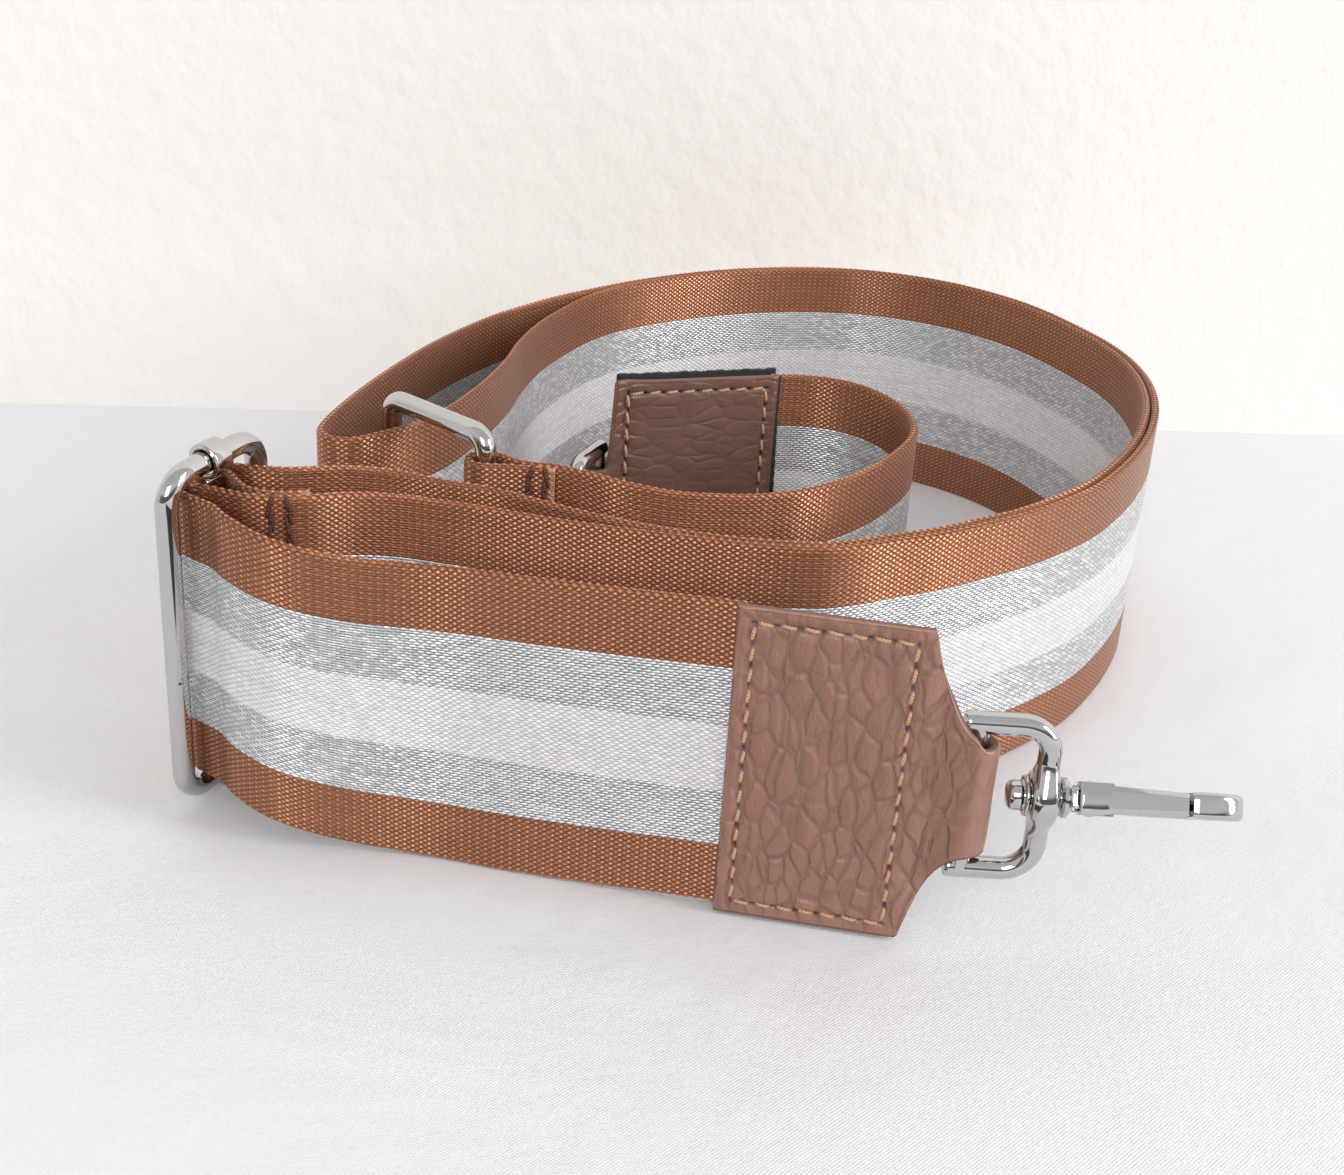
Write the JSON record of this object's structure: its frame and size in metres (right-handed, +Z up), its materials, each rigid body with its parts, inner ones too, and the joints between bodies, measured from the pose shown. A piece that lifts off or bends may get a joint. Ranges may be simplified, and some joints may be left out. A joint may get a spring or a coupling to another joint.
{
  "type": "detachable bag strap",
  "caption": "Detachable bag strap of striped woven webbing, with a wire slider, a joining ring, leather end tabs and swivel snap hooks.",
  "frame": {"origin": "on the floor under the middle of the coiled strap's bounding box", "axes": "+Z up from the floor that the webbing stands on, +Y from the front run to the back of the big loop, +X toward the front snap hook's nose"},
  "size_m": [0.1686, 0.1972, 0.0619],
  "materials": {
    "webbing": "ribbed woven stripes: brown nylon edges, two glittering silver bands, cream centre",
    "leather": "pebbled, satin",
    "backing": "matte bonded felt",
    "tan_thread": "waxed thread",
    "brown_thread": "nylon thread",
    "nickel": "polished nickel plate"
  },
  "bodies": {
    "strap": {"webbing_long": "webbing", "webbing_short": "webbing", "slider_loop_stitching": "brown_thread", "ring_loop_stitching": "brown_thread", "tab_leather_a": "leather", "tab_leather_b": "leather", "tab_backing_a": "backing", "tab_backing_b": "backing", "tab_stitching_a": "tan_thread", "tab_stitching_b": "tan_thread"},
    "slider": {"slider_frame": "nickel", "slider_centre_bar": "nickel"},
    "ring": {"connecting_ring": "nickel"},
    "front_eye": {"eye_a": "nickel"},
    "front_hook": {"hook_a": "nickel", "swivel_washer_a": "nickel", "gate_pin_a": "nickel", "gate_spring_a": "nickel"},
    "front_gate": {"gate_a": "nickel"},
    "back_eye": {"eye_b": "nickel"},
    "back_hook": {"hook_b": "nickel", "swivel_washer_b": "nickel", "gate_pin_b": "nickel", "gate_spring_b": "nickel"},
    "back_gate": {"gate_b": "nickel"}
  },
  "joints": [
    {"name": "slider_tilt", "type": "hinge", "parent": "strap", "child": "slider", "pos_m": [-0.07748, -0.06534, 0.03105], "axis": [0.042, -0.1051, 0.9936], "range_deg": [-3, 3]},
    {"name": "ring_swing", "type": "hinge", "parent": "strap", "child": "ring", "pos_m": [-0.03879, -0.04815, 0.02976], "axis": [0, 0, 1], "range_deg": [-3, 3]},
    {"name": "front_eye_swing", "type": "hinge", "parent": "strap", "child": "front_eye", "pos_m": [0.03541, -0.0929, 0.02585], "axis": [0, 0, 1], "range_deg": [-75, 60]},
    {"name": "front_hook_swivel", "type": "hinge", "parent": "front_eye", "child": "front_hook", "pos_m": [0.04581, -0.0929, 0.02585], "axis": [1, 0, 0], "continuous": true},
    {"name": "front_gate_press", "type": "hinge", "parent": "front_hook", "child": "front_gate", "pos_m": [0.05181, -0.09474, 0.02705], "axis": [0, 0.5446, 0.8387], "range_deg": [0, 25], "stiffness_Nm_per_rad": 0.02, "springref_deg": -20.05, "deforming": ["gate_spring_a"]},
    {"name": "back_eye_swing", "type": "hinge", "parent": "strap", "child": "back_eye", "pos_m": [-0.024, 0.00179, 0.02585], "axis": [0, 0, 1], "range_deg": [-5, 30]},
    {"name": "back_hook_swivel", "type": "hinge", "parent": "back_eye", "child": "back_hook", "pos_m": [-0.02764, -0.00795, 0.02585], "axis": [-0.3499, -0.9368, 0], "continuous": true},
    {"name": "back_gate_press", "type": "hinge", "parent": "back_hook", "child": "back_gate", "pos_m": [-0.0318, -0.01281, 0.02585], "axis": [0, 0, 1], "range_deg": [0, 25], "stiffness_Nm_per_rad": 0.02, "springref_deg": -20.05, "deforming": ["gate_spring_b"]}
  ]
}
